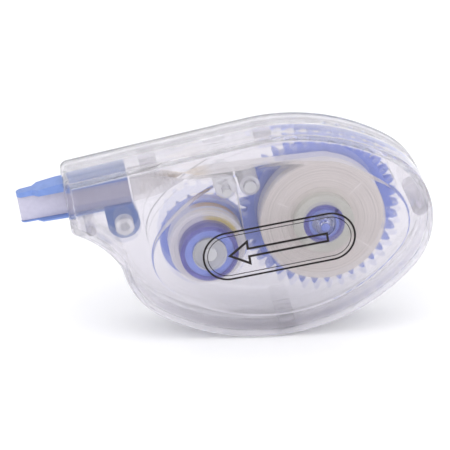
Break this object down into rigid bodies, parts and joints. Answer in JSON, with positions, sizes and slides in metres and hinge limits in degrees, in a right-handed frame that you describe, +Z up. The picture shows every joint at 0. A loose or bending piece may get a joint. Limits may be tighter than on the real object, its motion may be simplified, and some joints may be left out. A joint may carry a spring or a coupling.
{
  "type": "correction tape roller",
  "caption": "Clear flat pocket roller that lays white correction tape from its narrow tip, with geared reels inside.",
  "frame": {"origin": "under the middle of the part, on the surface it stands on by its curved lower edge", "axes": "+X from the tip end towards the round end, +Y from the front cover to the rear cover, +Z up; the part leans back 10 degrees on its edge, so the neck slopes down to the tip"},
  "size_m": [0.0814, 0.015, 0.0426],
  "materials": {
    "clear_shell": "clear glossy polystyrene",
    "tip_blue": "translucent blue polypropylene",
    "gear_blue": "translucent blue acetal",
    "hub_blue": "deeper blue acetal",
    "clear_core": "clear polystyrene with a green tint",
    "tape_white": "white correction coat on film",
    "film": "used carrier film, translucent",
    "ink": "thin dark pad-printed ink on the front panel"
  },
  "bodies": {
    "casing": {"front_cover": "clear_shell", "rear_cover": "clear_shell", "fresh_tape_run": "tape_white", "spent_film_run": "film"},
    "supply_gear": {"supply_gear": "gear_blue"},
    "supply_reel": {"clutch_ring": "hub_blue", "supply_core": "clear_core", "tape_roll": "tape_white"},
    "take_up_reel": {"take_up_gear": "gear_blue", "take_up_core": "hub_blue", "spent_film_roll": "film"},
    "tip": {"tip_head": "tip_blue", "tip_tape": "tape_white"},
    "roller": {"guide_roller": "clear_core"}
  },
  "joints": [
    {"name": "supply_gear_spin", "type": "hinge", "parent": "casing", "child": "supply_gear", "pos_m": [0.01937, 0.0004, 0.02303], "axis": [0, -1, 0], "continuous": true},
    {"name": "clutch_slip", "type": "hinge", "parent": "supply_gear", "child": "supply_reel", "pos_m": [0.01937, 0.0004, 0.02303], "axis": [0, -1, 0], "continuous": true},
    {"name": "take_up_spin", "type": "hinge", "parent": "casing", "child": "take_up_reel", "pos_m": [-0.00328, 0.0004, 0.01802], "axis": [0, -1, 0], "continuous": true},
    {"name": "tip_rock", "type": "hinge", "parent": "casing", "child": "tip", "pos_m": [-0.0195, 0.0004, 0.02237], "axis": [0, -1, 0], "range_deg": [-1.5, 1.5]},
    {"name": "guide_roller_spin", "type": "hinge", "parent": "casing", "child": "roller", "pos_m": [0.00438, 0.0004, 0.03207], "axis": [0, -1, 0], "continuous": true}
  ],
  "couplings": [
    {"joint": "take_up_spin", "follows": "supply_gear_spin", "ratio": -1.9}
  ]
}
